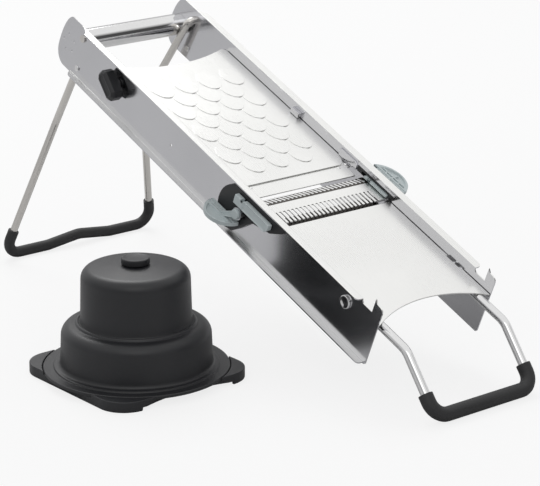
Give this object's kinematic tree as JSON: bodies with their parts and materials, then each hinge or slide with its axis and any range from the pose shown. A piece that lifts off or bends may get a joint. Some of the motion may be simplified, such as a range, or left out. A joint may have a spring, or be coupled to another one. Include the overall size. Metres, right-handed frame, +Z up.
{
  "type": "mandoline slicer",
  "caption": "Free-standing adjustable mandoline slicer with folding wire feet, a lifting julienne comb and a separate food pusher.",
  "frame": {"origin": "middle of the outline at rest, at the height of the surface that the feet and the pusher stand on", "axes": "+X along the floor towards the lower, discharge end; +Y across the deck towards the far side plate, away from the pusher; +Z up"},
  "size_m": [0.5142, 0.3009, 0.2217],
  "materials": {
    "frame_steel": "satin",
    "bright_steel": "satin",
    "chrome": "polished",
    "satin_wire": "satin",
    "rubber": "matte",
    "black_plastic": "matte",
    "pusher_plastic": "matte",
    "grey_plastic": "matte"
  },
  "bodies": {
    "frame": {"side_plate_left": "frame_steel", "side_plate_right": "frame_steel", "cross_tube": "chrome", "detent_rivets": "frame_steel", "lower_deck": "bright_steel", "blade_ledges": "frame_steel", "horizontal_blade": "bright_steel", "slotted_plate": "bright_steel", "hold_down_tabs": "frame_steel", "side_cheeks": "frame_steel", "latch_housing_left": "black_plastic", "latch_housing_right": "black_plastic"},
    "lock_left": {"lock_bar_left": "grey_plastic"},
    "lock_right": {"lock_bar_right": "grey_plastic"},
    "ramp": {"ramp_carrier": "bright_steel", "embossed_plate": "bright_steel", "ramp_rivets": "bright_steel", "ramp_hinge_pins": "frame_steel"},
    "thickness_control": {"thickness_knob": "black_plastic", "control_shaft": "frame_steel", "shaft_cams": "frame_steel", "shaft_clip": "black_plastic"},
    "comb": {"comb_carrier": "frame_steel", "julienne_knives": "bright_steel", "lever_shafts": "frame_steel", "lever_left": "grey_plastic", "lever_right": "grey_plastic"},
    "rear_foot": {"rear_foot_rod": "satin_wire", "rear_foot_sleeve": "rubber"},
    "front_foot": {"front_foot_rod": "chrome", "front_foot_sleeve": "rubber", "front_pivot_caps": "chrome"},
    "carriage": {"pusher_carriage": "pusher_plastic"},
    "hat": {"pusher_hat": "pusher_plastic"},
    "plunger": {"plunger_knob": "pusher_plastic", "plunger_stem": "frame_steel", "press_plate": "pusher_plastic", "press_spikes": "frame_steel"}
  },
  "joints": [
    {"name": "lock_left_slide", "type": "slide", "parent": "frame", "child": "lock_left", "axis": [-0.9257, 0, 0.3781], "range_m": [0, 0.005]},
    {"name": "lock_right_slide", "type": "slide", "parent": "frame", "child": "lock_right", "axis": [-0.9257, 0, 0.3781], "range_m": [0, 0.005]},
    {"name": "ramp_hinge", "type": "hinge", "parent": "frame", "child": "ramp", "pos_m": [-0.11816, 0.06955, 0.1847], "axis": [0, 1, 0], "range_deg": [0, 3.3]},
    {"name": "thickness_turn", "type": "hinge", "parent": "frame", "child": "thickness_control", "pos_m": [-0.11273, 0.06955, 0.17816], "axis": [0, 1, 0], "range_deg": [0, 180]},
    {"name": "comb_rocker", "type": "hinge", "parent": "frame", "child": "comb", "pos_m": [0.04996, 0.06955, 0.11127], "axis": [0, -1, 0], "range_deg": [0, 20]},
    {"name": "rear_foot_fold", "type": "hinge", "parent": "frame", "child": "rear_foot", "pos_m": [-0.15858, 0.06955, 0.20607], "axis": [0, -1, 0], "range_deg": [0, 75]},
    {"name": "front_foot_fold", "type": "hinge", "parent": "frame", "child": "front_foot", "pos_m": [0.16324, 0.06955, 0.07019], "axis": [0, 1, 0], "range_deg": [0, 150]},
    {"name": "carriage_lift", "type": "slide", "parent": "frame", "child": "carriage", "axis": [0, 0, 1], "range_m": [0, 0.1]},
    {"name": "hat_lift", "type": "slide", "parent": "carriage", "child": "hat", "axis": [0, 0, 1], "range_m": [0, 0.05]},
    {"name": "plunger_slide", "type": "slide", "parent": "hat", "child": "plunger", "axis": [0, 0, 1], "range_m": [0, 0.058]}
  ],
  "couplings": [
    {"joint": "thickness_turn", "follows": "ramp_hinge", "ratio": 54}
  ]
}
